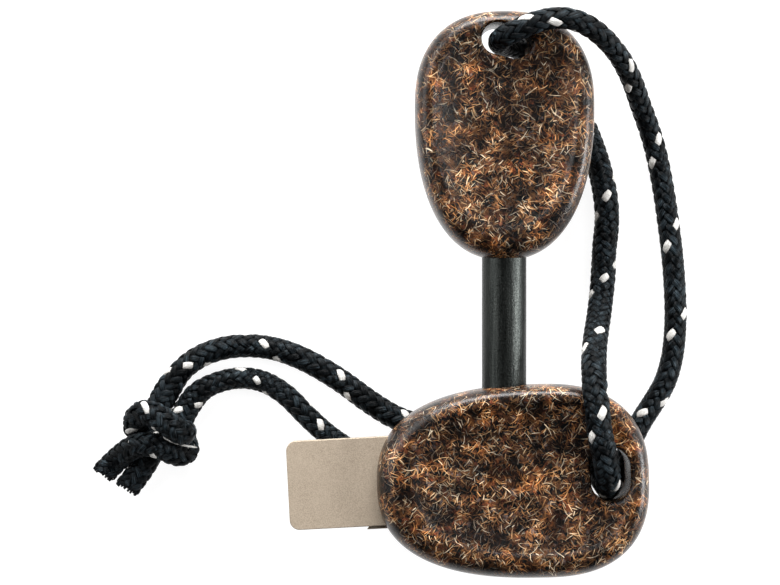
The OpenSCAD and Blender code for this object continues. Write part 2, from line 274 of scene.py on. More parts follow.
def braided(name, c, flecks, pitch, radius, cut, squeeze, loose=(), painted_shade_points=()):
    """Sixteen-yarn tubular braid, two over and two under, round a core.
    cut: 0 where the cord is cut at its start, -1 at its end. squeeze: 0 to 1 per point,
    how far the cord is pressed flat. loose: tracer yarns pulled out of the braid."""
    rng = np.random.default_rng(len(c))
    t, n, b = carried_frames(c)
    psi, tau = braid_phase(c, n, b, flecks, pitch)
    m = len(c)
    s = np.linspace(0, 1, m)
    outer = np.interp(s, [r[0] for r in radius], [r[1] for r in radius])
    ds = np.linalg.norm(np.diff(c, axis=0), axis=1).mean()
    wide = unit(np.cross(t, [0, 0, 1.0]))
    thick = np.cross(wide, t)
    from_cut = np.arange(m) * ds if cut == 0 else (m - 1 - np.arange(m)) * ds
    sides = 8
    verts, quads, polys, across, along, tint, mats = [], [], [], [], [], [], []
    base = 0

    def press(p, lo, hi, ring):
        q = p.reshape(hi - lo, ring, 3)
        d = q - c[lo:hi, None]
        w = (d * wide[lo:hi, None]).sum(2, keepdims=True)
        h = (d * thick[lo:hi, None]).sum(2, keepdims=True)
        f = squeeze[lo:hi, None, None]
        return (q + 0.16 * f * w * wide[lo:hi, None] - 0.26 * f * h * thick[lo:hi, None]).reshape(-1, 3)

    def add(p, q, ring, ac, al, ti, mat):
        nonlocal base
        verts.append(p)
        quads.append(q + base)
        polys.append([list(range(base + ring - 1, base - 1, -1)),
                      list(range(base + len(p) - ring, base + len(p)))])
        across.append(ac)
        along.append(al)
        tint.append(np.full(len(p), ti))
        mats.append(mat if isinstance(mat, np.ndarray) else np.full(len(q) + 2, mat))
        base += len(p)

    # both cords were cut in one stroke: every strand ends on that plane
    stroke = np.array([-0.511, -0.860, 0.0])
    tip_at = 0 if cut == 0 else m - 1
    heading = -t[0] if cut == 0 else t[-1]

    def trim(u, v, extra):
        d = u * n[tip_at] + v * b[tip_at]
        return int(round(max(0.0, 0.40 + (d @ stroke) / (heading @ stroke) + extra) / ds))

    rate = np.gradient(psi, ds)
    for kind in (0, 1):
        for i in range(8):
            if kind == 0:
                th = tau + psi + i * math.pi / 4
                wave = np.cos(2 * math.pi * (2 * i + 8 * psi / math.pi - 0.5) / 4)
            else:
                th = tau - psi + i * math.pi / 4
                wave = -np.cos(2 * math.pi * (2 * i - 8 * psi / math.pi - 0.5) / 4)
            f = np.tanh(2.0 * wave) / math.tanh(2.0)
            r0 = outer - 0.50
            splay = 0.12 * np.exp(-from_cut / 0.6)
            r = r0 + 0.20 * f + 0.05 * wave + splay
            e_r = np.cos(th)[:, None] * n + np.sin(th)[:, None] * b
            cen = c + r[:, None] * e_r
            lean = np.cos(np.arctan(rate * r0))
            hw = 0.5 * (2 * math.pi * r0 / 8) * lean * (1.10 + 0.22 * wave)
            ht = 0.25 * (outer / 2.0) * (0.96 + 0.04 * wave)
            off = trim(r0[tip_at] * math.cos(th[tip_at]), r0[tip_at] * math.sin(th[tip_at]), 0.42 + 0.1 * rng.random())
            lo, hi = (off, m) if cut == 0 else (0, m - off)
            tip = np.abs(np.arange(m) - (lo if cut == 0 else hi - 1)) * ds
            hw = hw * (1 - 0.45 * np.exp(-tip / 0.30))
            p, q, ac = yarn_mesh(cen[lo:hi], e_r[lo:hi], hw[lo:hi], ht[lo:hi], sides)
            al = np.repeat(np.arange(lo, hi) * ds / np.maximum(lean[lo:hi], 0.3), sides)
            p = press(p, lo, hi, sides)
            mat = np.full(len(q) + 2, 1 if kind == 0 and i == 0 else 0)
            if mat[0]:
                # painted shade: near these points, deep in the knot, the white tracer yarn gets the black material;
                # points in px of the frame
                mid = p[q].mean(1)
                k = 0.18 * (450 - mid[:, 2]) / 450
                for x, y in painted_shade_points:
                    near = np.hypot(390 + (mid[:, 0] + 14.04) / k - x, 292 - (mid[:, 1] - 0.18) / k - y) < 8.5
                    mat[:len(q)][near] = 0
            add(p, q, sides, ac, al, (i + 8 * kind) / 16.0, mat)

    def tube(offset, r, lo, hi, every, ring, ti):
        idx = np.unique(np.concatenate([np.arange(lo, hi, every), [hi - 1]]))
        phi = 2 * math.pi * np.arange(ring) / ring
        mid = c[idx] + offset[0][idx][:, None] * n[idx] + offset[1][idx][:, None] * b[idx]
        rr = r[idx][:, None]
        p = (mid[:, None, :] + (rr * np.cos(phi))[:, :, None] * n[idx][:, None, :]
             + (rr * np.sin(phi))[:, :, None] * b[idx][:, None, :])
        d = p - c[idx][:, None]
        w = (d * wide[idx][:, None]).sum(2, keepdims=True)
        h = (d * thick[idx][:, None]).sum(2, keepdims=True)
        sq = squeeze[idx][:, None, None]
        p = p + 0.16 * sq * w * wide[idx][:, None] - 0.26 * sq * h * thick[idx][:, None]
        k = len(idx)
        a = np.arange(k - 1)[:, None] * ring + np.arange(ring)[None, :]
        bb = np.arange(k - 1)[:, None] * ring + (np.arange(ring)[None, :] + 1) % ring
        q = np.stack([a, bb, bb + ring, a + ring], 2).reshape(-1, 4)
        add(p.reshape(-1, 3), q, ring, np.tile(np.cos(phi), k), np.repeat(idx * ds, ring), ti, 0)

    # inner tube that closes the gaps between yarns, and straight core yarns at the cut end
    zero = np.zeros(m)
    back = int(1.6 / ds)
    lo, hi = (back, m) if cut == 0 else (0, m - back)
    tube((zero, zero), outer - 0.72, lo, hi, max(1, int(1.0 / ds)), 20, 0.5)
    spots = [(0, 0)] + [(0.62 * math.cos(a), 0.62 * math.sin(a)) for a in np.arange(5) * 2 * math.pi / 5]
    for k, (u, v) in enumerate(spots):
        off = trim(u, v, 0.15 + 0.2 * rng.random())
        lo, hi = (off, int(7 / ds)) if cut == 0 else (m - int(7 / ds), m - off)
        grow = 1 + 0.25 * np.exp(-from_cut / 1.0)
        tube((u * grow, v * grow), zero + 0.36, lo, hi, 2, 8, 0.1 + 0.13 * k)
    # plies of the cut yarns stand out of the sheath like a comb
    ring_r = outer[tip_at] - 0.36
    for k in range(18):
        a = (k + 0.3 * rng.random()) * math.pi / 9
        u, v = ring_r * math.cos(a), ring_r * math.sin(a)
        off = trim(u, v, 0.22 * rng.random() - 0.25)
        lo, hi = (off, off + int(2.2 / ds)) if cut == 0 else (m - off - int(2.2 / ds), m - off)
        tip = np.abs(np.arange(m) - (lo if cut == 0 else hi - 1)) * ds
        tube((u + 0 * tip, v + 0 * tip), 0.21 - 0.06 * np.exp(-tip / 0.25), lo, hi, 1, 6, 0.05 * k)

    for pts in loose:
        p = smooth_route(pts, 0.15, 0.3)
        taper = np.minimum(1, 0.25 + np.minimum(np.arange(len(p)), np.arange(len(p))[::-1]) * 0.25)
        up = np.tile([0.0, 0.0, 1.0], (len(p), 1))
        q, f, ac = yarn_mesh(p, up, 0.19 * taper, 0.12 * taper, sides)
        add(q, f, sides, ac, np.repeat(np.arange(len(p)) * 0.15, sides), 0.3, 1)

    faces, order = [], []
    for q, pl, mt in zip(quads, polys, mats):
        faces.extend(q.tolist())
        faces.extend(pl)
        order.append(mt)
    mesh = bpy.data.meshes.new(name)
    mesh.from_pydata((np.concatenate(verts) * MM).tolist(), [], faces)
    mesh.polygons.foreach_set("material_index", np.concatenate(order).astype(np.int32))
    for label, data in (("across", across), ("along", along), ("tint", tint)):
        att = mesh.attributes.new(label, "FLOAT", "POINT")
        att.data.foreach_set("value", np.concatenate(data).astype(np.float32))
    mesh.shade_smooth()
    mesh.update()
    return link(name, mesh)


route_a = KNOT_A[::-1] + FEED[2:] + LOOP[1:6]
route_b = LOOP[5:] + BACK[1:] + KNOT_B
line_a = smooth_route(route_a, 0.33, 0.9)
line_b = smooth_route(route_b, 0.39, 0.9)


def squeeze_of(line, near, far):
    """1 close to the knot and on the cut end beyond it, 0 on the strand that leads to it."""
    d = np.linalg.norm(line - np.array(KNOT_AT), axis=1)
    f = np.clip((far - d) / (far - near), 0, 1)
    f = f * f * (3 - 2 * f)
    i = int(d.argmin())
    if d[0] < d[-1]:
        f[:i] = 1.0
    else:
        f[i:] = 1.0
    return f



# White flecks of the tracer yarn, as pixels of the photograph.
FLECKS_A = [(139.5, 455.3), (157.6, 430.2), (128.5, 426), (147.2, 407), (167, 371.5), (189.6, 364.8), (207, 364.8), (265.4, 343.4), (276, 358.6), (341.5, 374),
            (347, 395.5), (592, 437), (601.3, 411), (583.4, 352.8), (597.1, 336.8), (590.6, 296.8),
            (604, 276), (616.7, 264.8), (596, 216.8), (605, 194.5)]
FLECKS_B = [(524, 17), (555, 23), (628, 60.4), (624.6, 84.6), (657.6, 136.8), (650.8, 163.1), (676.5, 222.5), (665.6, 246.4),
            (684.5, 313.4), (669.6, 334.5), (664.5, 401.9), (641, 412), (321.3, 423), (263.7, 393),
            (259.3, 380), (240, 367), (199.5, 404.6), (178.9, 408.5), (153.2, 459)]
GROOVE = [[-55.1, -25.9, -2], [-53.7, -26.7, -2.1], [-51.7, -27.4, -2.6], [-49.1, -28, -4.2]]
# The last list for each cord: points in the knot where the tracer yarn gets painted shade.
cord_a = braided("lanyard_a", line_a, FLECKS_A, [(0, 14), (0.55, 14), (0.7, 11), (1, 11)],
                 [(0, 2.05), (0.17, 2.1), (0.3, 2.2), (0.42, 2.22), (0.5, 2.05), (0.6, 2.15), (0.66, 2.3),
                  (0.9, 2.3), (1, 2.15)], 0, squeeze_of(line_a, 9.0, 14.0), (),
                 [(112, 478.5), (137, 442), (194, 430)])
cord_b = braided("lanyard_b", line_b, FLECKS_B, [(0, 16), (0.4, 16), (0.6, 14), (1, 14)],
                 [(0, 2.0), (0.1, 2.05), (0.2, 1.95), (0.3, 2.05), (0.5, 2.12), (1, 2.0)], -1,
                 squeeze_of(line_b, 9.0, 14.0), [GROOVE], [(112, 478.5), (137, 442), (194, 430)])


def length_of(p):
    return float(np.linalg.norm(np.diff(p, axis=0), axis=1).sum())


print("cord lengths mm", round(length_of(line_a), 1), round(length_of(line_b), 1))


# ---- materials ------------------------------------------------------------
def material(name):
    m = bpy.data.materials.new(name)
    m.use_nodes = True
    nt = m.node_tree
    for node in list(nt.nodes):
        nt.nodes.remove(node)
    out = nt.nodes.new("ShaderNodeOutputMaterial")
    bsdf = nt.nodes.new("ShaderNodeBsdfPrincipled")
    nt.links.new(bsdf.outputs[0], out.inputs[0])
    return m, nt, bsdf


def node(nt, kind, **values):
    n = nt.nodes.new(kind)
    for key, v in values.items():
        setattr(n, key, v)
    return n


def ramp(nt, fac, stops, interpolation="LINEAR"):
    n = nt.nodes.new("ShaderNodeValToRGB")
    n.color_ramp.interpolation = interpolation
    els = n.color_ramp.elements
    while len(els) > 1:
        els.remove(els[-1])
    els[0].position, els[0].color = stops[0][0], (*stops[0][1], 1)
    for pos, col in stops[1:]:
        e = els.new(pos)
        e.color = (*col, 1)
    nt.links.new(fac, n.inputs[0])
    return n.outputs[0]


def maths(nt, op, a, b=None, c=None, clamp=False):
    n = nt.nodes.new("ShaderNodeMath")
    n.operation = op
    n.use_clamp = clamp
    for i, v in enumerate((a, b, c)):
        if v is None:
            continue
        if isinstance(v, (int, float)):
            n.inputs[i].default_value = v
        else:
            nt.links.new(v, n.inputs[i])
    return n.outputs[0]


def vmath(nt, op, a, b=None, scale=None):
    n = nt.nodes.new("ShaderNodeVectorMath")
    n.operation = op
    for i, v in enumerate((a, b)):
        if v is None:
            continue
        if isinstance(v, (tuple, list)):
            n.inputs[i].default_value = v
        else:
            nt.links.new(v, n.inputs[i])
    if scale is not None:
        if isinstance(scale, (int, float)):
            n.inputs["Scale"].default_value = scale
        else:
            nt.links.new(scale, n.inputs["Scale"])
    return n.outputs["Value"] if op in ("DOT_PRODUCT", "LENGTH", "DISTANCE") else n.outputs[0]


def mix_rgb(nt, fac, a, b, blend="MIX"):
    n = nt.nodes.new("ShaderNodeMix")
    n.data_type = "RGBA"
    n.blend_type = blend
    for sock, v in ((n.inputs[0], fac), (n.inputs[6], a), (n.inputs[7], b)):
        if isinstance(v, (int, float)):
            sock.default_value = v
        elif isinstance(v, tuple):
            sock.default_value = (*v, 1)
        else:
            nt.links.new(v, sock)
    return n.outputs[2]


def bump(nt, bsdf, height, distance, strength=1.0):
    n = nt.nodes.new("ShaderNodeBump")
    n.inputs["Distance"].default_value = distance
    n.inputs["Strength"].default_value = strength
    nt.links.new(height, n.inputs["Height"])
    nt.links.new(n.outputs[0], bsdf.inputs["Normal"])


def noise(nt, vec, scale, detail=2.0, rough=0.5):
    n = nt.nodes.new("ShaderNodeTexNoise")
    n.inputs["Scale"].default_value = scale
    n.inputs["Detail"].default_value = detail
    n.inputs["Roughness"].default_value = rough
    nt.links.new(vec, n.inputs["Vector"])
    return n


def fibre_group():
    """One layer of short curved fibres: each cell of a Voronoi pattern holds one fibre,
    lying in the surface. Outputs the mask and two random numbers per fibre."""
    g = bpy.data.node_groups.new("fibre_layer", "ShaderNodeTree")
    for label, kind in (("Vector", "NodeSocketVector"), ("Scale", "NodeSocketFloat"),
                        ("Width", "NodeSocketFloat"), ("Length", "NodeSocketFloat"),
                        ("Shift", "NodeSocketVector")):
        g.interface.new_socket(label, in_out="INPUT", socket_type=kind)
    for label, kind in (("Mask", "NodeSocketFloat"), ("Random", "NodeSocketColor")):
        g.interface.new_socket(label, in_out="OUTPUT", socket_type=kind)
    gi, go = g.nodes.new("NodeGroupInput"), g.nodes.new("NodeGroupOutput")
    geo = g.nodes.new("ShaderNodeNewGeometry")
    pos = vmath(g, "ADD", gi.outputs["Vector"], gi.outputs["Shift"])
    v = g.nodes.new("ShaderNodeTexVoronoi")
    v.feature = "F1"
    v.inputs["Randomness"].default_value = 1.0
    g.links.new(pos, v.inputs["Vector"])
    g.links.new(gi.outputs["Scale"], v.inputs["Scale"])
    # offset from the cell's point, in the surface
    d = vmath(g, "SUBTRACT", pos, v.outputs["Position"])
    nrm = geo.outputs["Normal"]
    vt = g.nodes.new("ShaderNodeVectorTransform")
    vt.vector_type = "NORMAL"
    vt.convert_from, vt.convert_to = "WORLD", "OBJECT"
    g.links.new(nrm, vt.inputs[0])
    nrm = vmath(g, "NORMALIZE", vt.outputs[0])
    dn = vmath(g, "DOT_PRODUCT", d, nrm)
    flat = vmath(g, "SUBTRACT", d, vmath(g, "SCALE", nrm, scale=dn))
    # a random direction in the surface
    rnd = v.outputs["Color"]
    way = vmath(g, "SUBTRACT", rnd, (0.5, 0.5, 0.5))
    wn = vmath(g, "DOT_PRODUCT", way, nrm)
    way = vmath(g, "NORMALIZE", vmath(g, "SUBTRACT", way, vmath(g, "SCALE", nrm, scale=wn)))
    across_dir = vmath(g, "CROSS_PRODUCT", nrm, way)
    along = vmath(g, "DOT_PRODUCT", flat, way)
    across = vmath(g, "DOT_PRODUCT", flat, across_dir)
    sep = g.nodes.new("ShaderNodeSeparateColor")
    g.links.new(rnd, sep.inputs[0])
    # bend: across - k * along^2, k from the cell
    k = maths(g, "MULTIPLY", maths(g, "SUBTRACT", sep.outputs[2], 0.5), 520.0)
    bent = maths(g, "SUBTRACT", across, maths(g, "MULTIPLY", k, maths(g, "MULTIPLY", along, along)))
    # taper to the ends
    end = maths(g, "DIVIDE", maths(g, "ABSOLUTE", along), gi.outputs["Length"])
    room = maths(g, "SUBTRACT", 1.0, maths(g, "POWER", end, 3.0), clamp=True)
    width = maths(g, "MULTIPLY", gi.outputs["Width"],
                  maths(g, "MULTIPLY", room, maths(g, "ADD", maths(g, "MULTIPLY", sep.outputs[1], 0.9), 0.55)))
    mask = maths(g, "SUBTRACT", 1.0,
                 maths(g, "DIVIDE", maths(g, "ABSOLUTE", bent), maths(g, "MAXIMUM", width, 1e-7)), clamp=True)
    g.links.new(mask, go.inputs["Mask"])
    own = g.nodes.new("ShaderNodeTexWhiteNoise")
    g.links.new(v.outputs["Position"], own.inputs["Vector"])
    g.links.new(own.outputs["Color"], go.inputs["Random"])
    return g


FIBRES = fibre_group()


def composite_material():
    m, nt, bsdf = material("composite")
    tc = nt.nodes.new("ShaderNodeTexCoord")
    vec = tc.outputs["Object"]
    # flakes of filler in the dark resin: each cell has its own tone
    wob = noise(nt, vec, 900.0, 2.0, 0.6)
    warped = vmath(nt, "ADD", vec, vmath(nt, "SCALE", vmath(nt, "SUBTRACT", wob.outputs["Color"], (0.5, 0.5, 0.5)),
                                         scale=0.0012))
    flake = nt.nodes.new("ShaderNodeTexVoronoi")
    flake.inputs["Scale"].default_value = 1250.0
    nt.links.new(warped, flake.inputs["Vector"])
    fsep = nt.nodes.new("ShaderNodeSeparateColor")
    nt.links.new(flake.outputs["Color"], fsep.inputs[0])
    base = ramp(nt, fsep.outputs[0], [(0.0, (0.004, 0.004, 0.005)), (0.22, (0.007, 0.009, 0.009)),
                                      (0.40, (0.016, 0.010, 0.007)), (0.58, (0.034, 0.018, 0.012)),
                                      (0.74, (0.062, 0.031, 0.017)), (0.85, (0.075, 0.026, 0.015)),
                                      (0.93, (0.060, 0.048, 0.048))], "CONSTANT")
    fine = noise(nt, vec, 2600.0, 2.0, 0.6)
    base = mix_rgb(nt, 1.0, base, ramp(nt, fine.outputs["Fac"], [(0.32, (0.35, 0.35, 0.36)), (0.52, (1.0, 1.0, 1.0)),
                                                                  (0.68, (2.1, 1.9, 1.7))]), "MULTIPLY")
    # warm and cool zones of the moulding
    zone = noise(nt, vec, 170.0, 3.0, 0.6)
    tilt = ramp(nt, zone.outputs["Fac"], [(0.38, (0.52, 0.56, 0.60)), (0.5, (0.77, 0.74, 0.71)),
                                          (0.64, (1.04, 0.83, 0.62))])
    # fibres lie near the surface in some places and deep in others
    patch = noise(nt, vmath(nt, "ADD", vec, (0.11, 0.43, 0.27)), 260.0, 3.0, 0.6)
    lift = ramp(nt, patch.outputs["Fac"], [(0.40, (0.16, 0.16, 0.18)), (0.50, (0.74, 0.73, 0.73)),
                                           (0.62, (1.75, 1.68, 1.58))])
    tilt = mix_rgb(nt, 1.0, tilt, lift, "MULTIPLY")
    col = mix_rgb(nt, 1.0, base, tilt, "MULTIPLY")
    # bundles of orange fibre under the surface
    glow = noise(nt, vmath(nt, "ADD", vec, (0.37, 0.13, 0.61)), 330.0, 3.0, 0.65)
    col = mix_rgb(nt, maths(nt, "MULTIPLY", ramp(nt, glow.outputs["Fac"], [(0.58, (0, 0, 0)), (0.70, (1, 1, 1))]), 0.35),
                  col, (0.12, 0.048, 0.016))
    height = fine.outputs["Fac"]
    # scale, width, length, shift, brightness, share of cells that hold a fibre, kind
    deep = [(0.0, (0.022, 0.012, 0.009)), (0.3, (0.075, 0.028, 0.014)), (0.6, (0.155, 0.064, 0.024)),
            (0.85, (0.23, 0.115, 0.048))]
    light = [(0.0, (0.19, 0.085, 0.034)), (0.25, (0.33, 0.165, 0.065)), (0.55, (0.41, 0.28, 0.155)),
             (0.80, (0.50, 0.42, 0.31))]
    layers = [(1100, 0.00011, 0.0006, (0.0, 0.0, 0.0), 0.35, 0.75, deep),
              (900, 0.00012, 0.0007, (0.113, 0.071, 0.031), 0.60, 0.60, deep),
              (1200, 0.00010, 0.0005, (0.217, 0.053, 0.127), 0.85, 0.60, deep),
              (820, 0.00011, 0.0008, (0.071, 0.227, 0.091), 1.10, 0.45, deep),
              (1000, 0.00008, 0.0007, (0.913, 0.127, 0.711), 0.45, 0.55, light),
              (760, 0.00008, 0.0009, (0.331, 0.149, 0.213), 0.70, 0.45, light),
              (640, 0.00008, 0.0011, (0.417, 0.311, 0.171), 0.95, 0.40, light),
              (900, 0.00007, 0.0008, (0.523, 0.241, 0.371), 1.15, 0.40, light),
              (450, 0.00007, 0.0015, (0.811, 0.557, 0.619), 1.25, 0.28, light)]
    for scale, width, length, shift, bright, share, tones in layers:
        g = nt.nodes.new("ShaderNodeGroup")
        g.node_tree = FIBRES
        nt.links.new(vec, g.inputs["Vector"])
        g.inputs["Scale"].default_value = scale
        g.inputs["Width"].default_value = width
        g.inputs["Length"].default_value = length
        g.inputs["Shift"].default_value = shift
        sep = nt.nodes.new("ShaderNodeSeparateColor")
        nt.links.new(g.outputs["Random"], sep.inputs[0])
        tone = ramp(nt, sep.outputs[0], [(p, tuple(v * bright for v in c)) for p, c in tones])
        tone = mix_rgb(nt, 1.0, tone, tilt, "MULTIPLY")
        there = maths(nt, "LESS_THAN", sep.outputs[1], share)
        mask = maths(nt, "MULTIPLY", maths(nt, "MULTIPLY", g.outputs["Mask"], 2.0, clamp=True), there)
        col = mix_rgb(nt, mask, col, tone)
        height = maths(nt, "MAXIMUM", height, g.outputs["Mask"])
    nt.links.new(col, bsdf.inputs["Base Color"])
    bsdf.inputs["Roughness"].default_value = 0.27
    bsdf.inputs["Specular IOR Level"].default_value = 0.28
    bump(nt, bsdf, height, 0.00005, 0.35)
    return m


def braid_material(name, dark, light, rough, level):
    # The yarn gets the dark colour, lifted toward the light colour in painted glints along its crests.
    m, nt, bsdf = material(name)
    a = node(nt, "ShaderNodeAttribute", attribute_name="across")
    l = node(nt, "ShaderNodeAttribute", attribute_name="along")
    ti = node(nt, "ShaderNodeAttribute", attribute_name="tint")
    tc = nt.nodes.new("ShaderNodeTexCoord")
    # filaments: fine ridges along the yarn, broken up along it; the bump takes them, and their streaks mark where
    # glints are painted
    comb = nt.nodes.new("ShaderNodeCombineXYZ")
    nt.links.new(maths(nt, "MULTIPLY", a.outputs["Fac"], 5.0), comb.inputs[0])
    nt.links.new(maths(nt, "MULTIPLY", l.outputs["Fac"], 0.35), comb.inputs[1])
    nt.links.new(maths(nt, "MULTIPLY", ti.outputs["Fac"], 37.0), comb.inputs[2])
    fil = noise(nt, comb.outputs[0], 1.3, 3.0, 0.6)
    painted_glint_streak = ramp(nt, fil.outputs["Fac"], [(0.46, (0, 0, 0)), (0.62, (1, 1, 1))])
    # painted sheen: patches along each yarn where the painted glints show, different from place to place
    comb2 = nt.nodes.new("ShaderNodeCombineXYZ")
    nt.links.new(maths(nt, "MULTIPLY", l.outputs["Fac"], 0.55), comb2.inputs[0])
    nt.links.new(maths(nt, "MULTIPLY", ti.outputs["Fac"], 91.0), comb2.inputs[1])
    patch = noise(nt, comb2.outputs[0], 1.0, 2.0, 0.5)
    painted_sheen_patch = ramp(nt, patch.outputs["Fac"], [(0.42, (0.06, 0.06, 0.06)), (0.66, (1, 1, 1))])
    # painted highlight and shade: the crest of each yarn is lighter, its edges darker
    painted_crest_highlight = maths(nt, "SUBTRACT", 1.0, maths(nt, "MULTIPLY", maths(nt, "ABSOLUTE", a.outputs["Fac"]), 0.75))
    fac = maths(nt, "MULTIPLY", maths(nt, "MULTIPLY", painted_glint_streak, painted_sheen_patch), painted_crest_highlight)
    col = mix_rgb(nt, fac, dark, light)
    nt.links.new(col, bsdf.inputs["Base Color"])
    bsdf.inputs["Roughness"].default_value = rough
    bsdf.inputs["Specular IOR Level"].default_value = level
    bump(nt, bsdf, fil.outputs["Fac"], 0.00015, 0.9)
    return m


def steel_material():
    m, nt, bsdf = material("steel")
    tc = nt.nodes.new("ShaderNodeTexCoord")
    vec = tc.outputs["Object"]
    fine = noise(nt, vec, 5200.0, 2.0, 0.6)
    soft = noise(nt, vec, 260.0, 2.0, 0.5)
    base = ramp(nt, soft.outputs["Fac"], [(0.35, (0.37, 0.305, 0.235)), (0.65, (0.41, 0.340, 0.265))])
    speck = ramp(nt, fine.outputs["Fac"], [(0.36, (0, 0, 0)), (0.66, (1, 1, 1))])
    col = mix_rgb(nt, speck, mix_rgb(nt, 1.0, base, (0.82, 0.81, 0.80), "MULTIPLY"), (0.45, 0.385, 0.305))
    nt.links.new(col, bsdf.inputs["Base Color"])
    bsdf.inputs["Metallic"].default_value = 0.8
    nt.links.new(ramp(nt, fine.outputs["Fac"], [(0.3, (0.62, 0.62, 0.62)), (0.7, (0.8, 0.8, 0.8))]),
                 bsdf.inputs["Roughness"])
    bump(nt, bsdf, fine.outputs["Fac"], 0.00003, 0.6)
    return m


def ferro_material():
    m, nt, bsdf = material("ferro")
    tc = nt.nodes.new("ShaderNodeTexCoord")
    vec = tc.outputs["Object"]
    mp = nt.nodes.new("ShaderNodeMapping")
    mp.inputs["Scale"].default_value = (1.0, 0.05, 1.0)
    nt.links.new(vec, mp.inputs["Vector"])
    drawn = noise(nt, mp.outputs[0], 2600.0, 3.0, 0.6)
    grit = noise(nt, vec, 3000.0, 2.0, 0.7)
    col = ramp(nt, drawn.outputs["Fac"], [(0.35, (0.018, 0.020, 0.019)), (0.7, (0.034, 0.037, 0.035))])
    nt.links.new(col, bsdf.inputs["Base Color"])
    bsdf.inputs["Metallic"].default_value = 1.0
    nt.links.new(ramp(nt, grit.outputs["Fac"], [(0.35, (0.28, 0.28, 0.28)), (0.7, (0.48, 0.48, 0.48))]),
                 bsdf.inputs["Roughness"])
    both = maths(nt, "ADD", maths(nt, "MULTIPLY", drawn.outputs["Fac"], 0.6), grit.outputs["Fac"])
    bump(nt, bsdf, both, 0.00007, 0.7)
    return m


def resin_material():
    m, nt, bsdf = material("resin")
    tc = nt.nodes.new("ShaderNodeTexCoord")
    n = noise(nt, tc.outputs["Object"], 600.0, 3.0, 0.5)
    nt.links.new(ramp(nt, n.outputs["Fac"], [(0.3, (0.42, 0.30, 0.12)), (0.7, (0.60, 0.46, 0.22))]),
                 bsdf.inputs["Base Color"])
    bsdf.inputs["Roughness"].default_value = 0.2
    bump(nt, bsdf, n.outputs["Fac"], 0.0001, 0.4)
    return m


def floor_material():
    m, nt, bsdf = material("floor")
    tc = nt.nodes.new("ShaderNodeTexCoord")
    n = noise(nt, tc.outputs["Object"], 8.0, 2.0, 0.5)
    nt.links.new(ramp(nt, n.outputs["Fac"], [(0.3, (0.17, 0.17, 0.17)), (0.7, (0.19, 0.19, 0.19))]),
                 bsdf.inputs["Base Color"])
    bsdf.inputs["Roughness"].default_value = 0.9
    bsdf.inputs["Specular IOR Level"].default_value = 0.1
    bsdf.inputs["Emission Color"].default_value = (1, 1, 1, 1)
    bsdf.inputs["Emission Strength"].default_value = 0.93
    return m


COMPOSITE = composite_material()
# Each braid's second colour is its painted glint; on the white tracer the grey first colour is painted shade on the
# white yarn.
BRAID = braid_material("braid_black", (0.0003, 0.0005, 0.0007), (0.052, 0.072, 0.086), 0.32, 0.06)
TRACER = braid_material("braid_white", (0.42, 0.41, 0.39), (0.86, 0.85, 0.82), 0.55, 0.4)
STEEL = steel_material()
FERRO = ferro_material()
RESIN = resin_material()
FLOOR = floor_material()


def dress(obj, *mats):
    index = np.zeros(len(obj.data.polygons), np.int32)
    obj.data.polygons.foreach_get("material_index", index)
    obj.data.materials.clear()
    for m in mats:
        obj.data.materials.append(m)
    if len(mats) > 1:
        obj.data.polygons.foreach_set("material_index", index)


for c in (cord_a, cord_b):
    dress(c, BRAID, TRACER)


# ---- handles --------------------------------------------------------------
HALF_T, DISH, CREASE = 7.0, 1.4, 0.81


def egg(th, half, head, tail, nh, nt):
    u, v = np.cos(th), np.sin(th)
    a = np.where(u > 0, head, tail)
    n = np.where(u > 0, nh, nt)
    return (np.abs(u / a) ** n + np.abs(v / half) ** n) ** (-1 / n)


def half_profile():
    """[share of the way out, height] from the middle of the dish to the edge."""
    band, step = 0.92, 0.36
    rows = [(k * CREASE, HALF_T - DISH + (DISH - step) * (k / band) ** 3) for k in np.linspace(0.03, band, 28)]
    # soft shoulder between the dish and the rim
    rows += [(CREASE * (band + (1 - band) * f), HALF_T - step * (1 - f * f * (3 - 2 * f) * 0.6 - f * 0.4))
             for f in (0.12, 0.25, 0.4, 0.55, 0.7, 0.85, 0.94)]
    for f in np.linspace(90, 0, 34):
        f = math.radians(f)
        rows.append((CREASE + (1 - CREASE) * math.cos(f) ** 0.66 if f < math.pi / 2 - 1e-6 else CREASE,
                     HALF_T * math.sin(f) ** 0.66))
    return rows


def pebble(name, centre, turn, half, head, tail, nh, nt, shift):
    seg = 320
    th = 2 * math.pi * np.arange(seg) / seg
    rows = half_profile()
    rows = rows + [(k, -z) for k, z in rows[-2::-1]]
    verts = [np.array([[shift[0], shift[1], HALF_T - DISH]])]
    for k, z in rows:
        s = (1 - k) / (1 - CREASE) if k > CREASE else 1.0
        r = k * egg(th, half, head, tail, nh, nt)
        verts.append(np.stack([r * np.cos(th) + s * shift[0], r * np.sin(th) + s * shift[1],
                               np.full(seg, z)], 1))
    verts.append(np.array([[shift[0], shift[1], -(HALF_T - DISH)]]))
    v = np.concatenate(verts)
    a = math.radians(turn)
    rot = np.array([[math.cos(a), -math.sin(a), 0], [math.sin(a), math.cos(a), 0], [0, 0, 1]])
    v = v @ rot.T + np.array([centre[0], centre[1], 0])
    n = len(rows)
    faces = [[0, 1 + i, 1 + (i + 1) % seg] for i in range(seg)]
    for k in range(n - 1):
        for i in range(seg):
            j = (i + 1) % seg
            faces.append([1 + k * seg + i, 1 + (k + 1) * seg + i, 1 + (k + 1) * seg + j, 1 + k * seg + j])
    last = 1 + n * seg
    faces += [[last, 1 + (n - 1) * seg + (i + 1) % seg, 1 + (n - 1) * seg + i] for i in range(seg)]
    return link(name, mesh_from(name, v, faces))


